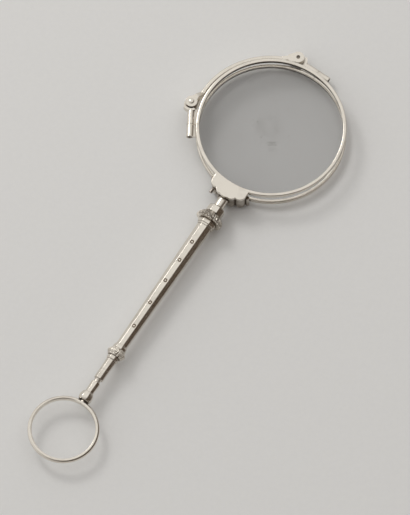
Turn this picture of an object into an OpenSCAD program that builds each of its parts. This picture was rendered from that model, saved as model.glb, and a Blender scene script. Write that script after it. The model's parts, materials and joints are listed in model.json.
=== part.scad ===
// Folding lorgnette: two stacked lenses that spring open side by side on
// an arched bridge, carried on a faceted handle with a finger ring.
// The finger ring's centre is the origin, +Y runs along the handle to the
// lenses and +Z looks out of the front lens. It is drawn folded.

/* [Rims and lenses] */
// Outer radius of each rim
rim_r = 21.3; // [20.5:0.1:22.5]
// Width of a rim's face, from its outside to the lens
rim_w = 1.05; // [0.95:0.05:1.25]
// Depth of a rim along the lens axis
rim_h = 1.4; // [1.3:0.05:1.5]
// Distance between the two rims' middle planes when folded
stack = 4.5; // [4.4:0.1:5]
// Thickness of a lens at its centre
lens_t = 2.2; // [1.8:0.1:2.4]
// Thickness of a lens where it meets the rim
lens_edge = 0.9; // [0.8:0.05:0.95]
// Depth of the groove inside a rim that holds the lens
groove_d = 0.4; // [0.3:0.05:0.5]
// Width of the cut that lets a rim open for its lens
split_gap = 0.12; // [0.08:0.02:0.2]

/* [Hinges] */
// Direction of the bridge's middle, from +X
bridge_dir = 148.45; // [146:0.5:150]
// Angle from the middle of the bridge to each pivot, seen from the lens
hinge_spread = 44.95; // [43.5:0.5:47]
// Angle that each hinge opens
open_angle = 83; // [70:1:84]
// Radius of the closing barrel on each rim
barrel_r = 1.05; // [0.95:0.05:1.1]
// Height of the solder web between rim and barrel
web_h = 0.45; // [0.4:0.05:0.6]
// Length of the closing barrel on each side of the rim's cut
barrel_half = 3.65; // [3.3:0.05:3.9]
// Distance from the cut in the rim to the pivot, along the barrel
pivot_reach = 6.8; // [6.6:0.1:7.2]
// Radius of the round eyes on the bridge
eye_r = 1.68; // [1.6:0.02:1.74]
// Thickness of the eye furthest from the bridge's middle plane
far_eye_h = 0.42; // [0.35:0.01:0.5]
// Radius of the rivets that the hinges turn on
rivet_r = 0.45; // [0.35:0.05:0.5]
// Radius of the rivets' domed heads
rivet_head_r = 0.75; // [0.65:0.05:0.9]
// Thickness of the cup's floor between the two eyes
cup_floor = 0.45; // [0.35:0.05:0.6]
// Angle that the cup's wall covers outside the barrel
cup_wall_sweep = 55; // [40:5:70]
// Radius of the screw that closes each rim
screw_r = 0.42; // [0.35:0.01:0.45]
// Radius of the closing screw's slotted head
screw_head_r = 0.72; // [0.6:0.02:0.74]

/* [Bridge] */
// Width of the bow, across the arc
bow_w = 1.25; // [1.1:0.05:1.4]
// Depth of the bow along the lens axis
bow_h = 2.3; // [2.2:0.05:2.4]
// Gap between the rims and the inside of the bow
bow_gap = 0.5; // [0.4:0.05:0.65]
// Angle from the bridge's middle to each end of the bow
bow_half = 34; // [32:0.5:35]
// Half the width of the neck that joins an eye to the bow
fork_half = 0.62; // [0.55:0.01:0.66]

/* [Cover plate and catch] */
// Half the width of the cover plate
plate_w = 5.55; // [5.5:0.05:6]
// How far the plate reaches past the rim towards the handle
plate_reach = 3.9; // [3.8:0.05:4.2]
// Thickness of the cover plate
plate_t = 1.2; // [0.9:0.05:1.2]
// How far the catch housing stands in from the plate's edge
housing_inset = 0.25; // [0.2:0.05:0.35]
// Thickness of the housing's floor
housing_floor = 0.6; // [0.4:0.05:0.9]
// Travel of the release stud
stud_travel = 0.45; // [0.4:0.05:0.5]
// Radius of the release stud's stem
stud_r = 0.35; // [0.25:0.05:0.35]
// Thickness of the leaf spring in the catch
leaf_t = 0.25; // [0.15:0.05:0.3]
// Width of the hook that hangs from the plate
hook_w = 1; // [0.8:0.1:1.1]
// Depth of the hook, towards the handle
hook_d = 1; // [0.8:0.1:1.2]

/* [Handle] */
// Length of the round neck below the catch housing
neck_len = 3.15; // [3:0.05:6]
// Radius of the neck, which the front rim passes over as it opens
neck_r = 1.5; // [1.3:0.05:1.5]
// Length of the faceted collar under the neck
neck_collar_len = 2.3; // [2:0.1:4]
// Width of the neck collar across its flats
neck_collar_w = 4.7; // [4.3:0.05:5]
// Length of the upper knop
knop_len = 2.7; // [2.4:0.1:3.5]
// Largest radius of the upper knop
knop_r = 4.05; // [3.8:0.05:4.6]
// Length of the ferrule at the top of the shaft
ferrule_len = 1.9; // [1.6:0.1:3]
// Width of the ferrule across its flats
ferrule_w = 5.05; // [4.8:0.05:5.4]
// Length of the faceted shaft
shaft_len = 42.9; // [35:0.1:60]
// Width of the shaft across its flats at the top
shaft_top_w = 4.15; // [3.8:0.05:4.4]
// Width of the shaft across its flats at the bottom
shaft_low_w = 3.15; // [3:0.05:3.6]
// Radius of the hollow inside the shaft
shaft_bore_r = 1.1; // [0.9:0.05:1.2]
// Length of the collar at the bottom of the shaft
shaft_collar_len = 1.4; // [1.2:0.1:2]
// Length of the lower knop
low_knop_len = 2.4; // [2.1:0.1:3]
// Largest radius of the lower knop
low_knop_r = 2.75; // [2.5:0.05:3]
// Length of the collar under the lower knop
tail_collar_len = 1.3; // [1:0.1:2]
// Length of the tapered tail
taper_len = 3.6; // [3.2:0.1:5]
// Width of the tail across its flats at its top
tail_top_w = 2.85; // [2.75:0.05:3]
// Width of the tail across its flats at the swivel
tail_low_w = 2.65; // [2.55:0.05:2.75]
// Radius of the rod that ties the handle together
rod_r = 0.7; // [0.5:0.05:0.8]

/* [Finger ring and swivel] */
// Length of the sleeve that holds the swivel pin
sleeve_len = 3; // [2.8:0.1:4]
// Radius of the swivel pin
pin_r = 0.6; // [0.45:0.05:0.65]
// Length of the ring's faceted stem
stem_len = 3.7; // [3.2:0.1:5]
// Width of the stem across its flats, at the swivel
stem_w = 2.5; // [2.2:0.05:2.6]
// Length of the button collar on the ring
button_len = 2.65; // [2:0.05:3]
// Width of the button collar across its flats
button_w = 3.75; // [3.4:0.05:4]
// Outer radius of the finger ring
ring_r = 10; // [9:0.1:11]
// Thickness of the ring's band, outside to inside
ring_w = 1.15; // [1:0.05:1.4]
// Width of the ring's band along its axis
ring_h = 1.5; // [1.3:0.05:1.8]

/* [Hidden] */

silver = "gainsboro";
glass = "lightsteelblue";
steel = "slategray";

// Clearances: turning fits, fits that stay put, and free room
run_gap = 0.05;
fixed_gap = 0.02;
free_gap = 0.25;
big = 200;

// Stations along the handle, from the ring's centre
ring_lug = 0.15;
swivel_gap = 1.3;
y_button = ring_r + ring_lug;
y_stem = y_button + button_len;
y_swivel = y_stem + stem_len;
y_sleeve = y_swivel + swivel_gap;
y_taper = y_sleeve + sleeve_len;
y_tail_collar = y_taper + taper_len;
y_low_knop = y_tail_collar + tail_collar_len;
y_shaft_collar = y_low_knop + low_knop_len;
y_shaft = y_shaft_collar + shaft_collar_len;
y_ferrule = y_shaft + shaft_len;
y_knop = y_ferrule + ferrule_len;
y_neck_collar = y_knop + knop_len;
y_neck = y_neck_collar + neck_collar_len;
y_neck_end = y_neck + neck_len;
lens_y = y_neck_end + rim_r + plate_reach - housing_inset;

// Levels along Z: the front rim lies above the middle plane
rim_z = stack / 2;
rim_low = rim_z - rim_h / 2;
rim_top = rim_z + rim_h / 2;
plate_low = rim_top - plate_t;
housing_top = rim_low - run_gap;
bow_z = bow_h / 2;

// The barrel is sunk into the bow's depth, and the eyes take it between
// them: the near eye ends just under it, the far eye lies just over it
barrel_sink = 0.35;
barrel_low = bow_z - barrel_sink;
barrel_z = barrel_low + barrel_r;
barrel_top = barrel_low + 2 * barrel_r;
near_eye_top = barrel_low - run_gap;
far_eye_low = barrel_top + run_gap;
far_eye_top = far_eye_low + far_eye_h;

// Hinge geometry about the lens axis
web_drop = 0.35;
web_rise = 0.45;
barrel_axis = rim_r + web_h + barrel_r;
split_dir = bridge_dir + hinge_spread + atan(pivot_reach / barrel_axis);
barrel_dir = split_dir + 90;
pivot = barrel_axis * [cos(split_dir), sin(split_dir)]
    - pivot_reach * [cos(barrel_dir), sin(barrel_dir)];
bow_in = rim_r + bow_gap;
bow_out = bow_in + bow_w;
bow_end_dir = bridge_dir + bow_half;
bow_end = (bow_in + bow_out) / 2 * [cos(bow_end_dir), sin(bow_end_dir)];
fork_vec = bow_end - pivot;
fork_dir = atan2(fork_vec[1], fork_vec[0]);
fork_reach = norm(fork_vec);

// Cup round the spring on each barrel. Its floor turns between the eyes
// and its edge stops against the fork's web when the hinge is open.
web_in = eye_r + 0.12;
stop_r = web_in + 0.3;
cup_in = eye_r + 0.3;
cup_out = cup_in + 0.65;
cup_low = barrel_low + 0.04;
cup_high = barrel_top - 0.04;
cup_side = 25;
stop_angle = 0.8;
cup_stop = fork_dir + open_angle - barrel_dir
    + asin(fork_half / web_in) + stop_angle;
barrel_start = cup_in + 0.2;
barrel_end = pivot_reach + barrel_half;

// Screw that closes each rim
screw_head_h = 0.5;
screw_sunk = 0.12;
screw_slot_w = 0.22;
screw_slot_h = 0.2;
screw_head_x = barrel_end - screw_head_h - screw_sunk;
screw_grip = 2.6;
screw_hole_x = pivot_reach - screw_grip;

// Spring round each rivet, drawn as the sleeve that its turns fill
coil_in = rivet_r + 0.3;
coil_out = cup_in - 0.58;
coil_low = cup_low + cup_floor + run_gap;
coil_leg = 0.3;

// Lens edge: a bevel that sits in the rim's groove
rim_in = rim_r - rim_w;
rim_bead = 0.12;
rim_chamfer = 0.28;
groove_half = lens_edge / 2 + 0.08;
lens_r = rim_in + groove_d - run_gap;
bevel_tip = 0.05;

// Catch, measured from the lens axis: outline of the cover plate
plate_y = -(rim_r + plate_reach);
mid_lobe_r = 3.1;
side_lobe_r = 1.5;
end_lobe_r = 1.8;
under_rim = 2;
side_lobe_in = 3.85;
side_lobe_up = 1.75;
end_lobe_up = 3.05;
side_lobe_x = plate_w - side_lobe_in;
side_lobe_y = plate_y + side_lobe_up;
end_lobe_x = plate_w - end_lobe_r;
end_lobe_y = plate_y + end_lobe_up;

// The leaf lies across the housing and its nose blocks the hook
leaf_y = -(rim_r + 0.6);
leaf_front = leaf_y - leaf_t;
hook_back = leaf_front - free_gap;
hook_x = -3.1;
hook_low = -0.3;
hook_play = 0.15;
nose_w = 0.65;
nose_reach = free_gap + stud_travel - run_gap;
nose_x = hook_x - hook_w / 2 - hook_play - nose_w;
leaf_low = -1.7;
leaf_high = 1.2;
leaf_end = 4.3;
pocket_y = leaf_front - 0.6;
pocket_left = -4.95;
pocket_right = leaf_end + 0.2;
pocket_depth = 3;
seat_x = 2.6;
skin = 0.25;
stud_x = -4.55;
stud_z = -1.2;
stud_head_r = 0.5;
stud_head_h = 0.45;
stud_seat = end_lobe_y - (end_lobe_r - housing_inset) - run_gap;
anchor_x = 3.4;
anchor_z = -0.5;
anchor_r = 0.3;
anchor_head_r = 0.5;
anchor_head_h = 0.18;
anchor_depth = 1;
scroll_r = 0.55;
scroll_x = plate_w - housing_inset + 0.4;
scroll_y = -(rim_r + 0.1);
scroll_top = rim_low - 0.35;

// Spigot that seats the neck in the catch housing
spigot_r = 0.9;
spigot_len = 1.2;

// Swivel: the pin's head turns in the sleeve's wide end
pin_head_r = pin_r + 0.28;
pin_head_h = 0.6;
head_room = 0.85;
sleeve_nose = 0.6;
nose_r = pin_r + 0.35;
washer_r = 1;
pin_seat = 3.2;

// Depth of the rod's seats in the tail and in the neck
rod_low = y_taper + 0.9;
rod_high = y_neck_end - 1.5;
rod_bore = rod_r + fixed_gap;

// Height of a spherical face above its edge plane, at radius r
function arc_drop(r, sag, reach) =
    let (ball = (reach * reach + sag * sag) / (2 * sag))
    ball - sqrt(ball * ball - r * r);

// Places

module on_lens_axis(z = 0) {
    translate([0, lens_y, z]) children();
}

// Turns the front hinge over onto the back rim
module back_side() {
    rotate(bridge_dir) rotate([180, 0, 0]) rotate(-bridge_dir) children();
}

// Pivot frame: +X runs along the barrel, +Y points to the lens
module at_pivot() {
    translate([pivot[0], pivot[1], 0]) rotate(barrel_dir) children();
}

// Fork frame: +X runs from the pivot to the bow's end
module at_fork(z = 0) {
    translate([pivot[0], pivot[1], z]) rotate(fork_dir) children();
}

module outside_rim() {
    difference() {
        children();
        translate([0, 0, -big / 2])
            cylinder(h = big, r = rim_r + fixed_gap, $fn = 128);
    }
}

// A bar along +Y with eight flats, the first one facing +Z
module octagon_bar(y, len, w0, w1) {
    translate([0, y, 0]) rotate([-90, 0, 0]) rotate(22.5)
        cylinder(h = len, r1 = w0 / 2 / cos(22.5),
            r2 = w1 / 2 / cos(22.5), $fn = 8);
}

module rod_y(y, len, r, fn = 48) {
    translate([0, y, 0]) rotate([-90, 0, 0])
        cylinder(h = len, r = r, $fn = fn);
}

module rod_hole(y, len) {
    rod_y(y - 1, len + 2, rod_bore, 32);
}

// A turned body along +Y from points [radius, y]
module turned_y(points, fn = 96) {
    rotate([-90, 0, 0]) rotate_extrude($fn = fn) polygon(points);
}

// Slice of a disc about the pivot, between two angles
module slice(a0, a1, r) {
    middle = (a0 + a1) / 2;
    reach = 4 * r;
    intersection() {
        circle(r = r, $fn = 64);
        polygon([
            [0, 0], reach * [cos(a0), sin(a0)],
            1.4 * reach * [cos(middle), sin(middle)],
            reach * [cos(a1), sin(a1)]
        ]);
    }
}

// Rims and lenses

module rim_ring() {
    half = rim_h / 2;
    slope = rim_chamfer * 0.6;
    rotate_extrude($fn = 128) polygon([
        [rim_r, -half + rim_chamfer], [rim_r, half - rim_chamfer],
        [rim_r - slope, half], [rim_in + rim_bead, half],
        [rim_in, half - rim_bead], [rim_in, groove_half],
        [rim_in + groove_d, 2 * bevel_tip],
        [rim_in + groove_d, -2 * bevel_tip], [rim_in, -groove_half],
        [rim_in, -half + rim_bead], [rim_in + rim_bead, -half],
        [rim_r - slope, -half]
    ]);
}

module rim() {
    color(silver) difference() {
        rim_ring();
        rotate(split_dir) translate([rim_r, 0, 0])
            cube([4 * rim_w, split_gap, 2 * rim_h], center = true);
    }
}

module lens() {
    steps = 12;
    sag = (lens_t - lens_edge) / 2;
    face_r = rim_in - run_gap;
    top = [for (i = [0:steps]) let (r = face_r * i / steps)
        [r, lens_t / 2 - arc_drop(r, sag, face_r)]];
    low = [for (i = [steps:-1:0]) [top[i][0], -top[i][1]]];
    edge = [[lens_r, bevel_tip], [lens_r, -bevel_tip]];
    color(glass) rotate_extrude($fn = 128)
        polygon(concat(top, edge, low));
}

// Front hinge, about the lens axis

module barrel_length(x0, x1) {
    web_z = max(barrel_z - web_drop, rim_low + run_gap);
    web_top = min(barrel_z + web_rise, rim_top - run_gap);
    outside_rim() at_pivot() union() {
        translate([x0, 0, barrel_z]) rotate([0, 90, 0])
            cylinder(h = x1 - x0, r = barrel_r, $fn = 48);
        translate([x0, 0, web_z])
            cube([x1 - x0, barrel_r + web_h + 0.6, web_top - web_z]);
    }
}

module cup() {
    outside_rim() at_pivot() {
        translate([0, 0, cup_low]) linear_extrude(cup_floor)
            difference() {
                union() {
                    circle(r = eye_r - run_gap, $fn = 64);
                    slice(cup_stop, cup_side, stop_r);
                    slice(-cup_wall_sweep, cup_side, cup_out);
                }
                circle(r = rivet_r + run_gap, $fn = 48);
            }
        translate([0, 0, cup_low]) linear_extrude(cup_high - cup_low)
            difference() {
                slice(-cup_wall_sweep, cup_side, cup_out);
                circle(r = cup_in, $fn = 64);
            }
    }
}

module hinge_barrel() {
    color(silver) difference() {
        union() {
            barrel_length(barrel_start, pivot_reach - split_gap / 2);
            cup();
        }
        at_pivot() translate([screw_hole_x, 0, barrel_z])
            rotate([0, 90, 0])
            cylinder(h = barrel_half, r = screw_r + fixed_gap, $fn = 32);
    }
}

module closing_barrel() {
    color(silver) difference() {
        barrel_length(pivot_reach + split_gap / 2, barrel_end);
        at_pivot() translate([0, 0, barrel_z]) rotate([0, 90, 0]) {
            cylinder(h = big, r = screw_r + run_gap, $fn = 32);
            translate([0, 0, screw_head_x])
                cylinder(h = big, r = screw_head_r + run_gap, $fn = 32);
        }
    }
}

module closing_screw() {
    tip = screw_hole_x + run_gap;
    color(steel) at_pivot() translate([0, 0, barrel_z])
        rotate([0, 90, 0]) difference() {
            union() {
                translate([0, 0, tip])
                    cylinder(h = screw_head_x - tip, r = screw_r,
                        $fn = 32);
                translate([0, 0, screw_head_x])
                    cylinder(h = screw_head_h, r = screw_head_r,
                        $fn = 32);
            }
            translate([0, 0, screw_head_x + screw_head_h])
                cube([4 * screw_head_r, screw_slot_w, 2 * screw_slot_h],
                    center = true);
        }
}

module coil() {
    reach = cup_in - run_gap;
    color(steel) at_pivot() union() {
        rotate_extrude($fn = 64) translate([coil_in, coil_low])
            square([coil_out - coil_in,
                barrel_top - run_gap - coil_low]);
        translate([coil_in + 0.1, -coil_leg / 2, coil_low])
            cube([reach - coil_in - 0.1, coil_leg, coil_leg]);
    }
}

module hinge_rivet() {
    dome = 0.3;
    z = far_eye_top;
    tail_z = -bow_z + tail_sunk;
    color(silver) at_pivot() rotate_extrude($fn = 48) polygon([
        [0, tail_z], [rivet_r - 0.1, tail_z], [rivet_r, tail_z + 0.1],
        [rivet_r, z], [rivet_head_r, z], [rivet_head_r, z + 0.3 * dome],
        [rivet_head_r * 0.75, z + 0.8 * dome],
        [rivet_head_r * 0.35, z + dome], [0, z + dome]
    ]);
}

// Bridge

// The rivet's tail ends below the near eye's face, in a small well
tail_sunk = 0.55;
tail_well = 0.5;

// Round eye that narrows towards the neck
module eye(z0, z1, outline) {
    at_fork(z0) linear_extrude(z1 - z0) {
        circle(r = eye_r, $fn = 64);
        polygon(concat(outline,
            [for (i = [len(outline) - 1:-1:0])
                [outline[i][0], -outline[i][1]]]));
    }
}

module fork() {
    end = fork_reach + 1.5;
    slope = 0.55 * fork_reach;
    color(silver) difference() {
        union() {
            eye(-bow_z, near_eye_top, [
                [0, eye_r * 0.98], [eye_r, eye_r * 0.76],
                [1.55 * eye_r, eye_r * 0.6], [1.7 * eye_r, eye_r * 0.48]
            ]);
            eye(far_eye_low, far_eye_top, [
                [0, eye_r * 0.85], [1.35 * eye_r, fork_half]
            ]);
            difference() {
                at_fork() translate([0, fork_half, 0])
                    rotate([90, 0, 0]) linear_extrude(2 * fork_half)
                    polygon([
                        [web_in / 2, -bow_z], [end, -bow_z],
                        [end, bow_z], [fork_reach, bow_z],
                        [slope, far_eye_top], [web_in / 2, far_eye_top]
                    ]);
                at_fork(-big / 2)
                    cylinder(h = big, r = web_in, $fn = 64);
            }
        }
        at_fork(-big / 2)
            cylinder(h = big, r = rivet_r + fixed_gap, $fn = 48);
        at_fork(-bow_z - 1)
            cylinder(h = 1 + tail_well, r = rivet_r + 0.1, $fn = 48);
        // The fork ends where the bow begins
        rotate(bow_end_dir) translate([0, -big, -big / 2])
            cube([big, big, big]);
        at_fork(far_eye_low + far_eye_h)
            cylinder(h = big, r = 2 * web_in, $fn = 64);
    }
}

module bow() {
    corner = 0.25;
    z = bow_z;
    color(silver) rotate(bridge_dir - bow_half)
        rotate_extrude(angle = 2 * bow_half, $fn = 128) polygon([
            [bow_in, -z + corner], [bow_in + corner, -z],
            [bow_out - corner, -z], [bow_out, -z + corner],
            [bow_out, z - corner], [bow_out - corner, z],
            [bow_in + corner, z], [bow_in, z - corner]
        ]);
}

// Catch, about the lens axis

// Five lobes between the rim and the handle
module bracket(z0, z1, inset) {
    w = plate_w - inset;
    translate([0, 0, z0]) linear_extrude(z1 - z0) difference() {
        union() {
            polygon([
                [-w, under_rim - rim_r], [-w, end_lobe_y],
                [-side_lobe_x, side_lobe_y],
                [0, plate_y + mid_lobe_r], [side_lobe_x, side_lobe_y],
                [w, end_lobe_y], [w, under_rim - rim_r]
            ]);
            translate([0, plate_y + mid_lobe_r])
                circle(r = mid_lobe_r - inset, $fn = 64);
            for (side = [-1, 1]) {
                translate([side * side_lobe_x, side_lobe_y])
                    circle(r = side_lobe_r - inset, $fn = 48);
                translate([side * end_lobe_x, end_lobe_y])
                    circle(r = end_lobe_r - inset, $fn = 48);
            }
        }
        circle(r = rim_r + fixed_gap, $fn = 128);
    }
}

module leaf_pocket() {
    translate([0, 0, -rim_top + housing_floor]) linear_extrude(big)
        difference() {
            polygon([
                [pocket_left, pocket_y], [seat_x, pocket_y],
                [seat_x, leaf_front], [pocket_right, leaf_front],
                [pocket_right, pocket_depth - rim_r],
                [pocket_left, pocket_depth - rim_r]
            ]);
            circle(r = rim_r + skin, $fn = 128);
        }
}

// The hook leaves to the left and to the handle as the lenses open
module hook_way() {
    x = hook_x + hook_w / 2 + 2 * hook_play;
    translate([x - big, hook_back + hook_play - big,
        hook_low - hook_play])
        cube([big, big, big]);
}

module housing() {
    difference() {
        union() {
            bracket(-rim_top, housing_top, housing_inset);
            for (side = [-1, 1])
                translate([side * scroll_x, scroll_y, -rim_top])
                    cylinder(h = rim_top + scroll_top, r = scroll_r,
                        $fn = 32);
        }
        leaf_pocket();
        hook_way();
        rod_y(plate_y - 1, 1 + housing_inset + spigot_len + run_gap,
            spigot_r + fixed_gap, 48);
        translate([stud_x, 0, stud_z])
            rod_y(plate_y, leaf_front - plate_y, stud_r + run_gap, 32);
        translate([anchor_x, 0, anchor_z])
            rod_y(leaf_front - anchor_depth - fixed_gap,
                anchor_depth + 1, anchor_r + fixed_gap, 32);
    }
}

// Named pieces

module back_rim() {
    on_lens_axis() back_side() translate([0, 0, rim_z]) rim();
}

module back_lens() { on_lens_axis(-rim_z) lens(); }

module back_hinge_barrel() { on_lens_axis() back_side() hinge_barrel(); }

module back_closing_barrel() {
    on_lens_axis() back_side() closing_barrel();
}

module back_closing_screw() {
    on_lens_axis() back_side() closing_screw();
}

module back_spring() { on_lens_axis() back_side() coil(); }

module back_fork() { on_lens_axis() back_side() fork(); }

module back_rivet() { on_lens_axis() back_side() hinge_rivet(); }

module bridge_bow() { on_lens_axis() bow(); }

module front_fork() { on_lens_axis() fork(); }

module front_rivet() { on_lens_axis() hinge_rivet(); }

module front_rim() { on_lens_axis(rim_z) rim(); }

module front_lens() { on_lens_axis(rim_z) lens(); }

module front_hinge_barrel() { on_lens_axis() hinge_barrel(); }

module front_closing_barrel() { on_lens_axis() closing_barrel(); }

module front_closing_screw() { on_lens_axis() closing_screw(); }

module front_spring() { on_lens_axis() coil(); }

module cover_plate() {
    color(silver) on_lens_axis() bracket(plate_low, rim_top, 0);
}

module catch_hook() {
    color(silver) on_lens_axis()
        translate([hook_x - hook_w / 2, hook_back - hook_d, hook_low])
        cube([hook_w, hook_d, plate_low - hook_low]);
}

module catch_housing() {
    color(silver) on_lens_axis() housing();
}

module catch_spring() {
    color(steel) on_lens_axis() difference() {
        union() {
            translate([nose_x - 0.5, leaf_front, leaf_low])
                cube([leaf_end - nose_x + 0.5, leaf_t,
                    leaf_high - leaf_low]);
            translate([nose_x, leaf_front - nose_reach, hook_low])
                cube([nose_w, nose_reach + leaf_t,
                    leaf_high - hook_low]);
        }
        translate([anchor_x, 0, anchor_z])
            rod_y(leaf_front - 1, leaf_t + 2, anchor_r + fixed_gap, 32);
    }
}

module catch_rivet() {
    y0 = leaf_front - anchor_depth;
    color(silver) on_lens_axis() translate([anchor_x, 0, anchor_z]) {
        rod_y(y0, leaf_y - y0, anchor_r, 32);
        rod_y(leaf_y, anchor_head_h, anchor_head_r, 32);
    }
}

module release_stud() {
    seat = stud_seat - stud_travel;
    color(silver) on_lens_axis() translate([stud_x, 0, stud_z]) {
        rod_y(seat, leaf_front - seat, stud_r, 32);
        rod_y(seat - stud_head_h, stud_head_h, stud_head_r, 32);
    }
}

module neck() {
    color(silver) difference() {
        union() {
            rod_y(y_neck, neck_len, neck_r, 64);
            rod_y(y_neck_end - 0.1, 0.1 + spigot_len, spigot_r, 48);
        }
        rod_y(y_neck - 1, 1 + rod_high - y_neck + run_gap, rod_bore, 32);
    }
}

module neck_collar() {
    w = neck_collar_w;
    lip = 0.25;
    color(silver) difference() {
        union() {
            octagon_bar(y_neck_collar, neck_collar_len - lip, w + 0.1, w);
            octagon_bar(y_neck - lip, lip, w, w - 0.5);
        }
        rod_hole(y_neck_collar, neck_collar_len);
    }
}

module upper_knop() {
    lobes = 8;
    cutter = 0.75;
    bite = 0.33;
    belt = 0.6;
    rise = knop_len - belt;
    y = y_knop + belt;
    throat = neck_collar_w / 2 + 0.1;
    color(silver) difference() {
        turned_y([
            [0, y_knop], [knop_r - 0.35, y_knop],
            [knop_r - 0.05, y_knop + 0.2], [knop_r, y],
            [knop_r - 0.12, y + 0.3 * rise],
            [knop_r - 0.6, y + 0.62 * rise],
            [(knop_r + 2 * throat) / 3, y + 0.82 * rise],
            [throat, y + rise], [0, y + rise]
        ]);
        for (i = [0:lobes - 1])
            rotate([0, (i + 0.5) * 360 / lobes, 0])
                translate([0, 0, knop_r + cutter - bite])
                rod_y(y_knop - 1, knop_len + 2, cutter, 32);
        rod_hole(y_knop, knop_len);
    }
}

module upper_ferrule() {
    step = 0.6;
    color(silver) difference() {
        union() {
            octagon_bar(y_ferrule, step, shaft_top_w + 0.3,
                shaft_top_w + 0.3);
            octagon_bar(y_ferrule + step, ferrule_len - step,
                ferrule_w, ferrule_w);
        }
        rod_hole(y_ferrule, ferrule_len);
    }
}

module handle_shaft() {
    color(silver) difference() {
        octagon_bar(y_shaft, shaft_len, shaft_low_w, shaft_top_w);
        rod_y(y_shaft - 1, shaft_len + 2, shaft_bore_r, 48);
    }
}

module tie_rod() {
    color(steel) rod_y(rod_low, rod_high - rod_low, rod_r, 32);
}

module shaft_collar() {
    step = 0.5;
    w = shaft_low_w + 0.65;
    color(silver) difference() {
        union() {
            octagon_bar(y_shaft_collar, shaft_collar_len - step, w, w);
            octagon_bar(y_shaft - step, step, w - 0.3, w - 0.3);
        }
        rod_hole(y_shaft_collar, shaft_collar_len);
    }
}

module lower_knop() {
    lobes = 8;
    cutter = 0.5;
    bite = 0.2;
    edge = low_knop_r - 0.7;
    shoulder = low_knop_r - 0.25;
    belt = 0.3;
    y = y_low_knop;
    color(silver) difference() {
        turned_y([
            [0, y], [edge, y], [shoulder, y + 0.25 * low_knop_len],
            [low_knop_r, y + (low_knop_len - belt) / 2],
            [low_knop_r, y + (low_knop_len + belt) / 2],
            [shoulder, y + 0.75 * low_knop_len],
            [edge, y + low_knop_len], [0, y + low_knop_len]
        ]);
        for (i = [0:lobes - 1])
            rotate([0, (i + 0.5) * 360 / lobes, 0])
                translate([0, 0, low_knop_r + cutter - bite])
                rod_y(y - 1, low_knop_len + 2, cutter, 32);
        rod_hole(y, low_knop_len);
    }
}

module tail_collar() {
    w = tail_top_w + 0.45;
    lip = 0.25;
    color(silver) difference() {
        union() {
            octagon_bar(y_tail_collar, lip, w - 0.35, w);
            octagon_bar(y_tail_collar + lip, tail_collar_len - lip, w, w);
        }
        rod_hole(y_tail_collar, tail_collar_len);
    }
}

module tail_taper() {
    color(silver) difference() {
        octagon_bar(y_taper, taper_len, tail_low_w, tail_top_w);
        rod_y(rod_low - run_gap, taper_len, rod_bore, 32);
    }
}

module tail_sleeve() {
    color(silver) difference() {
        union() {
            octagon_bar(y_sleeve, sleeve_len, tail_low_w, tail_low_w);
            rod_y(y_sleeve - sleeve_nose, sleeve_nose + 0.1, nose_r, 48);
        }
        rod_y(y_sleeve - 1, sleeve_len + 2, pin_r + run_gap, 48);
        rod_y(y_taper - head_room, head_room + 1,
            pin_head_r + run_gap, 48);
    }
}

module swivel_pin() {
    y0 = y_swivel - pin_seat;
    head_y = y_taper - head_room + run_gap;
    color(steel) union() {
        rod_y(y0, head_y - y0 + 0.1, pin_r, 48);
        rod_y(head_y, pin_head_h, pin_head_r, 48);
    }
}

module swivel_washer() {
    color(silver) difference() {
        rod_y(y_swivel, swivel_gap - sleeve_nose - run_gap, washer_r, 48);
        rod_y(y_swivel - 1, swivel_gap + 2, pin_r + fixed_gap, 48);
    }
}

module ring_stem() {
    color(silver) difference() {
        octagon_bar(y_stem, stem_len, stem_w - 0.2, stem_w);
        rod_y(y_swivel - pin_seat - fixed_gap, pin_seat + 1,
            pin_r + fixed_gap, 48);
    }
}

module ring_button() {
    rise = 0.55;
    belly = 0.6 * button_len;
    w = button_w;
    color(silver) union() {
        octagon_bar(y_button, rise, w - 0.7, w);
        octagon_bar(y_button + rise, belly - rise, w, w - 0.05);
        octagon_bar(y_button + belly, button_len - belly, w - 0.05,
            stem_w + 0.6);
    }
}

module finger_ring() {
    half = ring_h / 2;
    r0 = ring_r - ring_w;
    color(silver) union() {
        rotate_extrude($fn = 128) polygon([
            [r0, -0.6 * half], [r0 + 0.1, -0.85 * half],
            [r0 + 0.35, -half], [ring_r - 0.45, -half],
            [ring_r - 0.12, -0.65 * half], [ring_r, -0.27 * half],
            [ring_r, 0.27 * half], [ring_r - 0.12, 0.65 * half],
            [ring_r - 0.45, half], [r0 + 0.35, half],
            [r0 + 0.1, 0.85 * half], [r0, 0.6 * half]
        ]);
        rod_y(ring_r - ring_w / 2, ring_w / 2 + ring_lug, half, 32);
    }
}

back_rim();
back_lens();
back_hinge_barrel();
back_closing_barrel();
back_closing_screw();
back_spring();
catch_housing();
catch_spring();
catch_rivet();
neck();
neck_collar();
upper_knop();
upper_ferrule();
handle_shaft();
tie_rod();
shaft_collar();
lower_knop();
tail_collar();
tail_taper();
tail_sleeve();
release_stud();
bridge_bow();
back_fork();
front_fork();
back_rivet();
front_rivet();
front_rim();
front_lens();
front_hinge_barrel();
front_closing_barrel();
front_closing_screw();
front_spring();
cover_plate();
catch_hook();
finger_ring();
ring_button();
ring_stem();
swivel_pin();
swivel_washer();
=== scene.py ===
"""Looks of a silver folding lorgnette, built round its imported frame.

Sizes are in metres. The finger ring's centre is the origin, +Y runs along
the handle to the lenses and +Z looks out of the front lens.
"""

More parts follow.
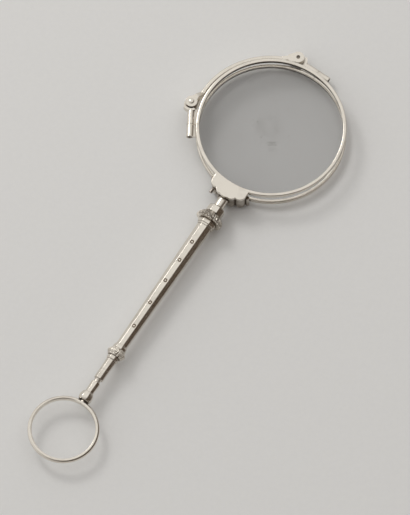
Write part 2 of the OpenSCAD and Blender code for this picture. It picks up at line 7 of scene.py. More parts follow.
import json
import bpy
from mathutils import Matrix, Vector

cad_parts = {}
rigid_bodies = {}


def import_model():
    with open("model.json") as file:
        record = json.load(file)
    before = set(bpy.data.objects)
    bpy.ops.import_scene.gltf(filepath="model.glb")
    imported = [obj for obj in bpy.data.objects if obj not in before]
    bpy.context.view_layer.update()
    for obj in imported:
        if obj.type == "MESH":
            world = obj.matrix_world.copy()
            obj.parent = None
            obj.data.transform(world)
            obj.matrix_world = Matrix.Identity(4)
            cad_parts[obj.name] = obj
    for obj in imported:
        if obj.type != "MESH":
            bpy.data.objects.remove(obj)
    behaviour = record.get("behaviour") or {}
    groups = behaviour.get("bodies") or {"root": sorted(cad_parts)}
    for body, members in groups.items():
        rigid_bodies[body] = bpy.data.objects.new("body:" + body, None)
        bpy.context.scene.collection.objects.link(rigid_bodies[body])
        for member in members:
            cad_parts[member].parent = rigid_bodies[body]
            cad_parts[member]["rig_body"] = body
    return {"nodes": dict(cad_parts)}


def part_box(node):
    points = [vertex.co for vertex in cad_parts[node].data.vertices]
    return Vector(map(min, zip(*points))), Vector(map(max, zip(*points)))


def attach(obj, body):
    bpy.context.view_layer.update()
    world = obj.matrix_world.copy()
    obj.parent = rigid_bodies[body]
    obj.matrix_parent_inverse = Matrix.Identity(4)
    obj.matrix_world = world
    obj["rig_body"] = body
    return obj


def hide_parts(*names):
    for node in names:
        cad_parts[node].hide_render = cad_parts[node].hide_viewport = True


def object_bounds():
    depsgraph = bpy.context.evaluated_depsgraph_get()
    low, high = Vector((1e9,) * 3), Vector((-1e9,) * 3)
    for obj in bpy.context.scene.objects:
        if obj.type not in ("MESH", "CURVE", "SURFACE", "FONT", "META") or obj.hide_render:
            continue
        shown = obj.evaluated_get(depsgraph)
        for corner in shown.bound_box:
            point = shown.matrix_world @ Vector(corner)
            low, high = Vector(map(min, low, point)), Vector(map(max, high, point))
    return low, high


bl_info = {
    "name": "Folding Lorgnette",
    "version": (1, 0, 0),
    "blender": (4, 5, 0),
    "location": "View3D > Sidebar > Lorgnette",
    "description": "Dresses a folding lorgnette's frame in silver and glass",
    "category": "Object",
}

from math import atan2, cos, exp, pi, radians, sin

import bmesh
import bpy
from mathutils import Matrix, Vector

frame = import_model()
CAD_LOW, CAD_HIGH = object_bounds()

MM = 0.001

# Points closer than this are one: in a node's mesh, and in a spun one
NODE_MERGE = 2e-7
SPIN_MERGE = 1e-7

LOBES = 8  # of each knop
KNOP_CORE = 1.2 * MM  # nothing is engraved closer to the handle's axis
KNOP_BORE = 0.72 * MM
KNOP_SPACING = 0.055 * MM  # between the points that are engraved

# The shaft's width across its flats at each end, and its marks' Y, in mm
SHAFT_WIDTHS = (3.15, 4.15)
MARK_PLACES = (66.1, 59.6, 52.3, 44.4, 36.1)

EDGE_RADIUS = 0.12 * MM  # of the edges that handling keeps bright
LINE_SCALE = 2400.0  # of the polishing lines in silver
DUST_RADIUS = 14 * MM
LENS_IOR = 1.3
STAIN_COLOUR = (0.40, 0.385, 0.35)

# The lamp: place from the part's middle, side length, radiance, colour
PART_MIDDLE = (0, 70 * MM, 0)
KEY_PLACE = (-0.56, 0.20, 0.55)
KEY_SIDE = 0.24
KEY_RADIANCE = 7.0
KEY_COLOUR = (1.0, 0.985, 0.955)

# The finish that each node of the frame keeps its own shape under
POLISHED_NODES = (
    "back_hinge_barrel", "front_hinge_barrel",
    "back_closing_barrel", "front_closing_barrel", "back_rivet",
    "front_rivet", "finger_ring",
)
# Catch parts under the cover plate: silver darkened all over with painted shade
PAINTED_SHADE_NODES = (
    "catch_housing", "catch_hook", "catch_rivet", "swivel_washer",
)
STEEL_NODES = (
    "back_closing_screw", "front_closing_screw", "tie_rod", "swivel_pin",
    "release_stud",
)
SPRING_NODES = ("catch_spring",)

# Nodes that a copy with rounded edges stands for: finish and edge radius
ROUNDED_NODES = {
    "neck": ("turned", 0.06),
    "neck_collar": ("turned", 0.09),
    "upper_ferrule": ("turned", 0.08),
    "handle_shaft": ("marked", 0.07),
    "shaft_collar": ("turned", 0.07),
    "tail_collar": ("turned", 0.07),
    "tail_taper": ("turned", 0.07),
    "tail_sleeve": ("turned", 0.06),
    "ring_stem": ("turned", 0.07),
    "ring_button": ("turned", 0.12),
    "bridge_bow": ("polished", 0.08),
    "back_fork": ("polished", 0.07),
    "front_fork": ("polished", 0.07),
    "cover_plate": ("polished", 0.2),
}

# Direction of the cut in each rim, from +X about the lens axis
RIM_CUTS = {"front": radians(210.05), "back": radians(86.85)}


# Sizes and colours that a user would change


class LorgnetteSizes(bpy.types.PropertyGroup):
    petal_depth: bpy.props.FloatProperty(
        name="Petal Depth",
        description="Depth of the lines cut into the upper knop",
        default=0.26 * MM, unit="LENGTH", precision=5,
    )
    petal_line: bpy.props.FloatProperty(
        name="Petal Line",
        description="Half the width of a line cut into a knop",
        default=0.13 * MM, unit="LENGTH", precision=5,
    )
    rosette_radius: bpy.props.FloatProperty(
        name="Rosette Radius",
        description="Radius of the round flowers on the upper knop",
        default=0.78 * MM, unit="LENGTH", precision=5,
    )
    floret_radius: bpy.props.FloatProperty(
        name="Floret Radius",
        description="Radius of the small flowers on the lower knop",
        default=0.5 * MM, unit="LENGTH", precision=5,
    )
    wire_radius: bpy.props.FloatProperty(
        name="Spring Wire Radius",
        description="Radius of the wire of the hinge springs",
        default=0.15 * MM, unit="LENGTH", precision=5,
    )
    coil_turns: bpy.props.FloatProperty(
        name="Spring Turns",
        description="Turns of each hinge spring round its rivet",
        default=4.25, min=1, max=8,
    )
    mark_radius: bpy.props.FloatProperty(
        name="Mark Radius",
        description="Radius of the round marks cut into the shaft",
        default=0.42 * MM, unit="LENGTH", precision=5,
    )


class LorgnetteFinish(bpy.types.PropertyGroup):
    silver: bpy.props.FloatVectorProperty(
        name="Silver", description="Colour of clean polished silver",
        default=(0.80, 0.752, 0.675), subtype="COLOR", min=0, max=1,
    )
    # Brown of the tarnish and of the painted shade in corners and lines
    tarnish_and_shade: bpy.props.FloatVectorProperty(
        name="Tarnish And Shade", description="Brown film left in corners and lines",
        default=(0.11, 0.075, 0.046), subtype="COLOR", min=0, max=1,
    )
    steel: bpy.props.FloatVectorProperty(
        name="Steel", description="Colour of the screws and of the pin",
        default=(0.42, 0.38, 0.34), subtype="COLOR", min=0, max=1,
    )
    spring: bpy.props.FloatVectorProperty(
        name="Spring", description="Colour of the tempered spring steel",
        default=(0.30, 0.19, 0.11), subtype="COLOR", min=0, max=1,
    )
    glass: bpy.props.FloatVectorProperty(
        name="Glass", description="Tint of the lenses",
        default=(0.88, 0.88, 0.88), subtype="COLOR", min=0, max=1,
    )
    polish: bpy.props.FloatProperty(
        name="Polish", description="Roughness of the polished silver",
        default=0.17, min=0, max=1, subtype="FACTOR",
    )


class LorgnetteStage(bpy.types.PropertyGroup):
    floor: bpy.props.FloatVectorProperty(
        name="Floor", description="Colour of the floor",
        default=(0.83, 0.83, 0.825), subtype="COLOR", min=0, max=1,
    )
    bright_side: bpy.props.FloatVectorProperty(
        name="Bright Side", description="Colour of the room's lit side",
        default=(0.86, 0.85, 0.83), subtype="COLOR", min=0, max=1,
    )
    dim_side: bpy.props.FloatVectorProperty(
        name="Dim Side", description="Colour of the room's other side",
        default=(0.085, 0.062, 0.045), subtype="COLOR", min=0, max=1,
    )
    azimuth: bpy.props.FloatProperty(
        name="Azimuth", description="Direction that the camera looks from",
        default=radians(32.6), subtype="ANGLE", unit="ROTATION",
    )
    elevation: bpy.props.FloatProperty(
        name="Elevation", description="Height of the camera over the floor",
        default=radians(67), subtype="ANGLE", unit="ROTATION",
    )
    view_height: bpy.props.FloatProperty(
        name="View Height", description="Height of what the picture shows",
        default=144.2 * MM, unit="LENGTH", precision=4,
    )
    focal_length: bpy.props.FloatProperty(
        name="Focal Length", description="Focal length of the camera, in mm",
        default=500, min=35, max=600,
    )
    target: bpy.props.FloatVectorProperty(
        name="Target", description="Point at the picture's centre",
        default=(5.12 * MM, 64.78 * MM, -0.14 * MM),
        subtype="XYZ", unit="LENGTH",
    )


# Shader nodes


def put(tree, kind, sockets=None, **settings):
    """Adds a node, sets its options, and fills or links its sockets."""
    node = tree.nodes.new(kind)
    for name, value in settings.items():
        setattr(node, name, value)
    for name, value in (sockets or {}).items():
        if isinstance(value, bpy.types.NodeSocket):
            tree.links.new(value, node.inputs[name])
        else:
            node.inputs[name].default_value = value
    return node


def maths(tree, operation, *values, clamp=False):
    node = put(tree, "ShaderNodeMath", dict(enumerate(values)),
               operation=operation, use_clamp=clamp)
    return node.outputs[0]


def ramp(tree, value, low, high, out_low=0.0, out_high=1.0):
    """A smooth step of value from low to high."""
    node = put(tree, "ShaderNodeMapRange", {
        "Value": value, "From Min": low, "From Max": high,
        "To Min": out_low, "To Max": out_high,
    }, interpolation_type="SMOOTHSTEP")
    return node.outputs["Result"]


def blend_colours(tree, share, first, second):
    node = put(tree, "ShaderNodeMix", {"Factor": share}, data_type="RGBA")
    for socket, value in ((node.inputs[6], first), (node.inputs[7], second)):
        if isinstance(value, bpy.types.NodeSocket):
            tree.links.new(value, socket)
        else:
            socket.default_value = (*value[:3], 1)
    return node.outputs[2]


def new_group(name, inputs, outputs):
    """A shader node group with its sockets: (tree, inputs, outputs)."""
    tree = bpy.data.node_groups.new(name, "ShaderNodeTree")
    for label, default in inputs:
        kind = ("NodeSocketVector" if isinstance(default, tuple)
                else "NodeSocketFloat")
        socket = tree.interface.new_socket(
            label, in_out="INPUT", socket_type=kind)
        socket.default_value = default
    for label in outputs:
        tree.interface.new_socket(
            label, in_out="OUTPUT", socket_type="NodeSocketFloat")
    entry = tree.nodes.new("NodeGroupInput")
    leave = tree.nodes.new("NodeGroupOutput")
    return tree, entry.outputs, leave.inputs


def use_group(tree, name, sockets):
    node = tree.nodes.new("ShaderNodeGroup")
    node.node_tree = bpy.data.node_groups[name]
    for label, value in sockets.items():
        if isinstance(value, bpy.types.NodeSocket):
            tree.links.new(value, node.inputs[label])
        else:
            node.inputs[label].default_value = value
    return node.outputs


def object_point(tree):
    return tree.nodes.new("ShaderNodeTexCoord").outputs["Object"]


def arrange(tree):
    """Sets the nodes in columns, from what they feed back to their start."""
    depth = {node: 0 for node in tree.nodes}
    for _ in range(len(tree.nodes)):
        for link in tree.links:
            depth[link.from_node] = max(
                depth[link.from_node], depth[link.to_node] + 1)
    rows = {}
    for node in tree.nodes:
        row = rows.setdefault(depth[node], 0)
        node.location = (-220 * depth[node], -260 * row)
        rows[depth[node]] += 1


def film_and_shade_group():
    """Brown film: strong in corners and lines, where it is partly tarnish and partly
    painted shade; faint and patchy tarnish elsewhere; an even painted shade where asked.
    """
    tree, given, made = new_group(
        "Film And Corner Shade",
        [("Reach", 0.8 * MM), ("Strength", 1.0), ("Patches", 0.2),
         ("Even Shade", 0.0)], ["Mask"])
    # Occlusion darkens corners and lines: partly tarnish, partly painted shade
    nook = put(tree, "ShaderNodeAmbientOcclusion",
               {"Distance": given["Reach"]}, samples=8)
    shut = maths(tree, "SUBTRACT", 1.0, nook.outputs["AO"])
    corner = maths(tree, "MULTIPLY", ramp(tree, shut, 0.1, 0.6),
                   given["Strength"])
    cloud = put(tree, "ShaderNodeTexNoise", {
        "Vector": object_point(tree), "Scale": 260.0, "Detail": 4.0,
        "Roughness": 0.6,
    })
    patch = maths(tree, "MULTIPLY",
                  ramp(tree, cloud.outputs["Fac"], 0.42, 0.72),
                  given["Patches"])
    both = maths(tree, "ADD", corner, patch)
    tree.links.new(maths(tree, "ADD", both, given["Even Shade"], clamp=True),
                   made["Mask"])
    arrange(tree)


def wear_group():
    """Edges that handling keeps bright."""
    tree, given, made = new_group(
        "Edge Wear", [("Radius", EDGE_RADIUS)], ["Mask"])
    soft = put(tree, "ShaderNodeBevel", {"Radius": given["Radius"]},
               samples=4)
    face = tree.nodes.new("ShaderNodeNewGeometry")
    along = put(tree, "ShaderNodeVectorMath", {
        0: soft.outputs["Normal"], 1: face.outputs["Normal"],
    }, operation="DOT_PRODUCT")
    tree.links.new(ramp(tree, along.outputs["Value"], 0.995, 0.9),
                   made["Mask"])
    arrange(tree)


def scratch_group():
    """Fine polishing lines: a height and a value that varies the gloss."""
    tree, given, made = new_group(
        "Polish Lines",
        [("Stretch", (1.0, 1.0, 1.0)), ("Scale", LINE_SCALE)],
        ["Height", "Value"])
    stretched = put(tree, "ShaderNodeVectorMath", {
        0: object_point(tree), 1: given["Stretch"],
    }, operation="MULTIPLY").outputs["Vector"]
    fine = put(tree, "ShaderNodeTexNoise", {
        "Vector": stretched, "Scale": given["Scale"], "Detail": 3.0,
        "Roughness": 0.7,
    }).outputs["Fac"]
    wide = put(tree, "ShaderNodeTexNoise", {
        "Vector": object_point(tree), "Scale": 190.0, "Detail": 2.0,
    }).outputs["Fac"]
    tree.links.new(fine, made["Height"])
    tree.links.new(maths(tree, "ADD", maths(tree, "MULTIPLY", fine, 0.6),
                         maths(tree, "MULTIPLY", wide, 0.4)),
                   made["Value"])
    arrange(tree)


def mark_group(spots, radius):
    """Round marks punched into a facet at the given points."""
    tree, given, made = new_group(
        "Round Marks", [("Radius", radius), ("Line", 0.24 * MM)],
        ["Line", "Centre"])
    point = put(tree, "ShaderNodeVectorMath", {0: object_point(tree)},
                operation="ABSOLUTE").outputs["Vector"]
    near = None
    for spot in spots:
        away = put(tree, "ShaderNodeVectorMath", {0: point, 1: spot},
                   operation="DISTANCE").outputs["Value"]
        near = away if near is None else maths(tree, "MINIMUM", near, away)
    off = maths(tree, "ABSOLUTE",
                maths(tree, "SUBTRACT", near, given["Radius"]))
    share = maths(tree, "DIVIDE", off, given["Line"])
    tree.links.new(ramp(tree, share, 1.0, 0.45), made["Line"])
    core = maths(tree, "DIVIDE", near, given["Radius"])
    tree.links.new(ramp(tree, core, 0.55, 0.1), made["Centre"])
    arrange(tree)


def speck_group():
    """Dust and smears on a lens, thickest near its middle."""
    tree, given, made = new_group(
        "Lens Dust",
        [("Centre", (0.0, 0.0, 0.0)), ("Radius", DUST_RADIUS),
         ("Amount", 1.0)],
        ["Film", "Haze"])
    centred = put(tree, "ShaderNodeVectorMath", {
        0: object_point(tree), 1: given["Centre"],
    }, operation="SUBTRACT").outputs["Vector"]
    point = put(tree, "ShaderNodeVectorRotate", {
        "Vector": centred, "Angle": radians(-33),
    }, rotation_type="Z_AXIS").outputs["Vector"]

    def away_from(x, y, stretch):
        moved = put(tree, "ShaderNodeVectorMath", {
            0: point, 1: (x * MM, y * MM, 0),
        }, operation="SUBTRACT").outputs["Vector"]
        scaled = put(tree, "ShaderNodeVectorMath", {
            0: moved, 1: (*stretch, 0),
        }, operation="MULTIPLY").outputs["Vector"]
        return put(tree, "ShaderNodeVectorMath", {0: scaled},
                   operation="LENGTH").outputs["Value"]

    away = away_from(0, 0, (1, 1))
    middle = ramp(tree, maths(tree, "DIVIDE", away, given["Radius"]),
                  1.0, 0.1)
    dots = put(tree, "ShaderNodeTexVoronoi", {
        "Vector": point, "Scale": 620.0, "Randomness": 1.0,
    }).outputs["Distance"]
    pick = put(tree, "ShaderNodeTexNoise", {
        "Vector": point, "Scale": 150.0, "Detail": 1.0,
    }).outputs["Fac"]
    speck = maths(tree, "MULTIPLY", ramp(tree, dots, 0.22, 0.08),
                  ramp(tree, pick, 0.52, 0.64))
    smear = put(tree, "ShaderNodeTexNoise", {
        "Vector": point, "Scale": 230.0, "Detail": 4.0,
        "Roughness": 0.6, "Distortion": 0.8,
    }).outputs["Fac"]
    broken = ramp(tree, smear, 0.25, 0.75)
    off_ring = maths(tree, "ABSOLUTE", maths(
        tree, "SUBTRACT", away_from(-0.6, 0.6, (1, 1)), 2.4 * MM))
    ring = maths(tree, "MULTIPLY", ramp(tree, off_ring, 2.6 * MM, 0.2 * MM),
                 maths(tree, "MAXIMUM", broken, ramp(tree, dots, 0.3, 0.1)))
    streak = maths(tree, "MULTIPLY",
                   ramp(tree, away_from(0.2, -5.0, (0.5, 1.8)),
                        1.0 * MM, 0.3 * MM),
                   ramp(tree, smear, 0.25, 0.5))
    dusty = maths(tree, "MULTIPLY", maths(tree, "MULTIPLY", speck, middle),
                  0.7)
    film = maths(tree, "MAXIMUM", dusty, maths(
        tree, "MAXIMUM", maths(tree, "MULTIPLY", ring, 0.14),
        maths(tree, "MULTIPLY", streak, 0.55)))
    tree.links.new(maths(tree, "MULTIPLY", film, given["Amount"]),
                   made["Film"])
    cloud = put(tree, "ShaderNodeTexNoise", {
        "Vector": point, "Scale": 75.0, "Detail": 3.0,
        "Roughness": 0.55, "Distortion": 0.6,
    }).outputs["Fac"]
    tree.links.new(maths(tree, "ADD", ramp(tree, cloud, 0.35, 0.75),
                         maths(tree, "MULTIPLY", middle, 0.5)),
                   made["Haze"])
    arrange(tree)


def new_material(name):
    """A material with its node tree and its Principled shader."""
    material = bpy.data.materials.new(name)
    material.use_nodes = True
    tree = material.node_tree
    return material, tree, tree.nodes["Principled BSDF"]


def silver_material(name, film, patches, stretch, gloss, reach=1 * MM,
                    even_shade=0.0, marked=False):
    """Silver with tarnish patches, corners darkened partly by tarnish and partly by
    painted shade, worn edges and polishing lines.
    """
    finish = bpy.context.scene.lorgnette_finish
    material, tree, shader = new_material(name)
    shader.inputs["Metallic"].default_value = 1.0

    film_and_shade_mask = use_group(tree, "Film And Corner Shade", {
        "Reach": reach, "Strength": film, "Patches": patches,
        "Even Shade": even_shade})["Mask"]
    worn = use_group(tree, "Edge Wear", {"Radius": EDGE_RADIUS})["Mask"]
    lines = use_group(tree, "Polish Lines", {
        "Stretch": stretch, "Scale": LINE_SCALE})
    # Tarnish and painted corner shade, left off the worn edges
    kept = maths(tree, "MULTIPLY", film_and_shade_mask,
                 maths(tree, "SUBTRACT", 1.0, worn))
    height = maths(tree, "MULTIPLY", lines["Height"], 0.03)
    if marked:
        marks = use_group(tree, "Round Marks", {})
        kept = maths(tree, "MAXIMUM", kept,
                     maths(tree, "MULTIPLY", marks["Line"], 0.95))
        kept = maths(tree, "MAXIMUM", kept,
                     maths(tree, "MULTIPLY", marks["Centre"], 0.25))
        height = maths(tree, "SUBTRACT", height, marks["Line"])
    colour = blend_colours(tree, kept, finish.silver, finish.tarnish_and_shade)
    tree.links.new(colour, shader.inputs["Base Color"])
    base = ramp(tree, lines["Value"], 0.3, 0.7, gloss - 0.05, gloss + 0.07)
    rough = maths(tree, "ADD", base,
                  maths(tree, "MULTIPLY", kept, 0.25), clamp=True)
    tree.links.new(rough, shader.inputs["Roughness"])
    bump = put(tree, "ShaderNodeBump", {
        "Height": height, "Strength": 0.5, "Distance": 0.08 * MM,
    })
    tree.links.new(bump.outputs["Normal"], shader.inputs["Normal"])
    arrange(tree)
    return material


def steel_material(name, colour, gloss, film):
    """Dull steel, darker in its slots and turns: partly film, partly painted shade."""
    finish = bpy.context.scene.lorgnette_finish
    material, tree, shader = new_material(name)
    shader.inputs["Metallic"].default_value = 1.0
    film_and_shade_mask = use_group(tree, "Film And Corner Shade", {
        "Reach": 0.6 * MM, "Strength": film, "Patches": 0.45})["Mask"]
    lines = use_group(tree, "Polish Lines", {
        "Stretch": (1.0, 1.0, 1.0), "Scale": 3000.0})
    tree.links.new(blend_colours(tree, film_and_shade_mask, colour,
                                 [0.4 * part for part in finish.tarnish_and_shade]),
                   shader.inputs["Base Color"])
    tree.links.new(ramp(tree, lines["Value"], 0.3, 0.7, gloss - 0.06,
                        gloss + 0.1),
                   shader.inputs["Roughness"])
    bump = put(tree, "ShaderNodeBump", {
        "Height": lines["Height"], "Strength": 0.3, "Distance": 0.01 * MM,
    })
    tree.links.new(bump.outputs["Normal"], shader.inputs["Normal"])
    arrange(tree)
    return material


def glass_material(name, centre, amount):
    """Old clear glass with a light haze, dust and smears."""
    finish = bpy.context.scene.lorgnette_finish
    material, tree, shader = new_material(name)
    shader.inputs["Metallic"].default_value = 0.0
    shader.inputs["Transmission Weight"].default_value = 1.0
    shader.inputs["IOR"].default_value = LENS_IOR
    dust = use_group(tree, "Lens Dust", {
        "Centre": centre, "Radius": DUST_RADIUS, "Amount": amount})
    tree.links.new(
        blend_colours(tree, dust["Film"], finish.glass, STAIN_COLOUR),
        shader.inputs["Base Color"])
    tree.links.new(ramp(tree, dust["Haze"], 0.0, 1.4, 0.02, 0.12),
                   shader.inputs["Roughness"])
    clear = put(tree, "ShaderNodeBsdfTransparent",
                {"Color": (0.93, 0.93, 0.93, 1)})
    path = tree.nodes.new("ShaderNodeLightPath")
    passed = maths(tree, "MAXIMUM", path.outputs["Is Shadow Ray"],
                   path.outputs["Is Diffuse Ray"])
    mix = put(tree, "ShaderNodeMixShader", {
        0: passed, 1: shader.outputs["BSDF"], 2: clear.outputs["BSDF"],
    })
    tree.links.new(mix.outputs["Shader"],
                   tree.nodes["Material Output"].inputs["Surface"])
    arrange(tree)
    return material


def floor_material(colour):
    """A plain matt floor, open to a camera below it."""
    material, tree, shader = new_material("Floor Paper")
    shader.inputs["Roughness"].default_value = 0.85
    grain = put(tree, "ShaderNodeTexNoise", {
        "Vector": object_point(tree), "Scale": 900.0, "Detail": 2.0,
    }).outputs["Fac"]
    tree.links.new(blend_colours(tree, grain,
                                 [0.98 * part for part in colour],
                                 [min(1, 1.02 * part) for part in colour]),
                   shader.inputs["Base Color"])
    under = tree.nodes.new("ShaderNodeNewGeometry").outputs["Backfacing"]
    clear = tree.nodes.new("ShaderNodeBsdfTransparent")
    mix = put(tree, "ShaderNodeMixShader", {
        0: under, 1: shader.outputs["BSDF"], 2: clear.outputs["BSDF"],
    })
    tree.links.new(mix.outputs["Shader"],
                   tree.nodes["Material Output"].inputs["Surface"])
    arrange(tree)
    return material


def finishes():
    """The materials, made once and found again by name."""
    if "Polished Silver" not in bpy.data.materials:
        sizes = bpy.context.scene.lorgnette_sizes
        finish = bpy.context.scene.lorgnette_finish
        film_and_shade_group()
        wear_group()
        scratch_group()
        speck_group()
        mark_group(shaft_marks(), sizes.mark_radius)
        # Film strength scales the occlusion darkening, partly tarnish and partly painted
        # shade; Engraved Silver darkens its cut lines most
        silver_material("Polished Silver", 0.9, 0.12, (1, 1, 1),
                        finish.polish)
        # Painted shade: longer occlusion reach, heavier patches and an even darkening all
        # over
        silver_material("Silver With Painted Shade", 1.1, 0.5, (1, 1, 1),
                        finish.polish + 0.06, reach=2 * MM, even_shade=0.22)
        silver_material("Turned Silver", 0.95, 0.18, (1, 0.15, 1),
                        finish.polish + 0.05)
        silver_material("Marked Silver", 0.9, 0.14, (1, 0.1, 1),
                        finish.polish + 0.03, marked=True)
        silver_material("Engraved Silver", 1.5, 0.3, (1, 1, 1),
                        finish.polish + 0.06, reach=0.6 * MM)
        steel_material("Screw Steel", finish.steel, 0.32, 0.8)
        steel_material("Spring Steel", finish.spring, 0.38, 0.9)
    names = {
        "polished": "Polished Silver", "painted_shade": "Silver With Painted Shade",
        "turned": "Turned Silver", "marked": "Marked Silver",
        "engraved": "Engraved Silver",
        "steel": "Screw Steel", "spring": "Spring Steel",
    }
    return {key: bpy.data.materials[name] for key, name in names.items()}


def shaft_marks():
    """Middle of each round mark, on the shaft's flat that faces up."""
    low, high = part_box("handle_shaft")
    half_low, half_high = (0.5 * width * MM for width in SHAFT_WIDTHS)
    marks = []
    for y in MARK_PLACES:
        share = (y * MM - low.y) / (high.y - low.y)
        marks.append((0.0, y * MM, half_low + share * (half_high - half_low)))
    return marks


# Meshes


def add_piece(mesh, name, body, slot, material, *nodes):
    """A finished piece that rides on a body and stands for nodes."""
    bmesh.ops.recalc_face_normals(mesh, faces=mesh.faces)
    data = bpy.data.meshes.new(name)
    mesh.to_mesh(data)
    mesh.free()
    for face in data.polygons:
        face.use_smooth = True
    data.set_sharp_from_angle(angle=radians(35))
    data.materials.append(material)
    piece = bpy.data.objects.new(name, data)
    bpy.context.scene.collection.objects.link(piece)
    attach(piece, body)
    if nodes:
        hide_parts(*nodes)
    return piece


def spin_profile(mesh, points, steps, closed=False):
    """Turns a line of (radius, y) points about the Y axis."""
    corners = [mesh.verts.new((r, y, 0)) for r, y in points]
    pairs = list(zip(corners, corners[1:]))
    if closed:
        pairs.append((corners[-1], corners[0]))
    lines = [mesh.edges.new(pair) for pair in pairs]
    bmesh.ops.spin(mesh, geom=corners + lines, cent=(0, 0, 0),
                   axis=(0, 1, 0), dvec=(0, 0, 0), angle=2 * pi,
                   steps=steps, use_merge=True, use_duplicate=False)
    bmesh.ops.remove_doubles(mesh, verts=mesh.verts, dist=SPIN_MERGE)


def round_edges(node, width, angle=28, kept=lambda edge: False):
    """A merged copy of a node with its edges rounded as by long polishing."""
    mesh = bmesh.new()
    mesh.from_mesh(frame["nodes"][node].data)
    bmesh.ops.remove_doubles(mesh, verts=mesh.verts, dist=NODE_MERGE)
    bmesh.ops.dissolve_limit(mesh, angle_limit=radians(0.6),
                             verts=mesh.verts, edges=mesh.edges)
    sharp = [edge for edge in mesh.edges
             if edge.is_manifold
             and edge.calc_face_angle() > radians(angle)
             and not kept(edge)]
    bmesh.ops.bevel(mesh, geom=sharp, offset=width, offset_type="OFFSET",
                    segments=2, profile=0.5, affect="EDGES",
                    clamp_overlap=True, material=-1)
    return mesh


def body_of_node(node):
    return frame["nodes"][node]["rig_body"]


def soldered_plate(node, width):
    """The plate with solder up to the edge of the front rim's face."""
    low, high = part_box("front_rim")
    rim = (high.x - low.x) / 2
    axis = (low + high) / 2

    seam = rim - 0.34 * MM

    def at_seam(vert):
        return (vert.co - axis).xy.length < rim + 0.1 * MM

    mesh = round_edges(node, width,
                       kept=lambda edge: all(map(at_seam, edge.verts)))
    for vert in filter(at_seam, mesh.verts):
        if vert.co.z > high.z - 0.05 * MM:
            spoke = (vert.co - axis).xy.normalized() * seam
            vert.co.xy = axis.xy + spoke
    return mesh


def knop_profile(points):
    """Points along a broken line, close enough together to be carved."""
    fine = []
    for (r0, y0), (r1, y1) in zip(points, points[1:]):
        length = ((r1 - r0) ** 2 + (y1 - y0) ** 2) ** 0.5
        count = max(1, round(length / KNOP_SPACING))
        fine += [(r0 + (r1 - r0) * i / count, y0 + (y1 - y0) * i / count)
                 for i in range(count)]
    return fine + [points[-1]]


def groove(distance, half_width):
    return exp(-(distance / half_width) ** 2)


def carve(mesh, depth_at):
    """Lowers each point towards the Y axis by depth_at(angle, radius, y)."""
    for vert in mesh.verts:
        radius = (vert.co.x ** 2 + vert.co.z ** 2) ** 0.5
        if radius < KNOP_CORE:
            continue
        angle = atan2(vert.co.x, vert.co.z)
        share = 1 - depth_at(angle, radius, vert.co.y) / radius
        vert.co.x *= share
        vert.co.z *= share


def in_sector(angle):
    """Angle from the middle of the nearest lobe."""
    step = 2 * pi / LOBES
    return (angle + step / 2) % step - step / 2


def engraved_upper_knop(sizes):
    """The large knop: a round flower and two leaves on each lobe."""
    line = sizes.petal_line
    low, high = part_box("upper_knop")
    top = high.x
    y0, y1 = low.y, high.y
    belt = 0.6 * MM
    throat = 2.45 * MM
    flower_y = y0 + 1.05 * MM
    heart_radius = 0.28 * MM
    rim_height = 0.42 * MM
    leaf_foot, leaf_slope = 0.35 * MM, 0.38
    leaf_gap = 0.1 * MM

    def depth(angle, radius, y):
        off = in_sector(angle)
        side = off * radius
        lobe = 0.3 * MM * (abs(off) / (pi / LOBES)) ** 3
        fade = min(1, max(0, (y1 - y) / (1.2 * MM)))
        if y - y0 < 0.02 * MM:
            return lobe
        rise = ((y - flower_y) ** 2 + side ** 2) ** 0.5
        ring = groove(rise - sizes.rosette_radius, line)
        heart = groove(rise - heart_radius, line * 0.7)
        rim = groove(y - y0 - rim_height, line * 0.8) * (
            abs(side) > sizes.rosette_radius)
        lean = abs(abs(side) - (leaf_foot + leaf_slope * (y1 - y)))
        leaf = groove(lean, line) * (
            rise > sizes.rosette_radius + leaf_gap)
        vein = groove(abs(off) - pi / LOBES, line / radius) * (
            y > y0 + belt)
        return lobe * (0.4 + 0.6 * fade) + sizes.petal_depth * min(
            1.0, ring + heart + rim + leaf + 0.7 * vein)

    mesh = bmesh.new()
    outline = knop_profile([
        (KNOP_BORE, y0), (top - 0.35 * MM, y0),
        (top - 0.05 * MM, y0 + 0.2 * MM), (top, y0 + belt),
        (top - 0.12 * MM, y0 + 1.23 * MM), (top - 0.6 * MM, y0 + 1.9 * MM),
        (throat + 0.5 * MM, y1 - 0.38 * MM), (throat, y1), (KNOP_BORE, y1),
    ])
    spin_profile(mesh, outline, 480, closed=True)
    carve(mesh, depth)
    return mesh


def engraved_lower_knop(sizes):
    """The small knop: a small flower on each lobe, between two lines."""
    line = sizes.petal_line
    low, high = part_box("lower_knop")
    top = high.x
    y0, y1 = low.y, high.y
    middle = (y0 + y1) / 2
    cut_depth = 0.14 * MM
    heart_radius = 0.15 * MM
    edge_height = 0.82 * MM

    def depth(angle, radius, y):
        off = in_sector(angle)
        side = off * radius
        lobe = 0.2 * MM * (abs(off) / (pi / LOBES)) ** 3
        rise = ((y - middle) ** 2 + side ** 2) ** 0.5
        ring = groove(rise - sizes.floret_radius, line)
        heart = groove(rise, heart_radius)
        rim = groove(abs(y - middle) - edge_height, line * 0.8)
        return lobe + cut_depth * min(1.0, ring + heart + 0.7 * rim)

    mesh = bmesh.new()
    edge = top - 0.7 * MM
    shoulder = top - 0.25 * MM
    outline = knop_profile([
        (KNOP_BORE, y0), (edge, y0), (shoulder, y0 + 0.6 * MM),
        (top, middle - 0.15 * MM), (top, middle + 0.15 * MM),
        (shoulder, y1 - 0.6 * MM), (edge, y1), (KNOP_BORE, y1),
    ])
    spin_profile(mesh, outline, 384, closed=True)
    carve(mesh, depth)
    return mesh


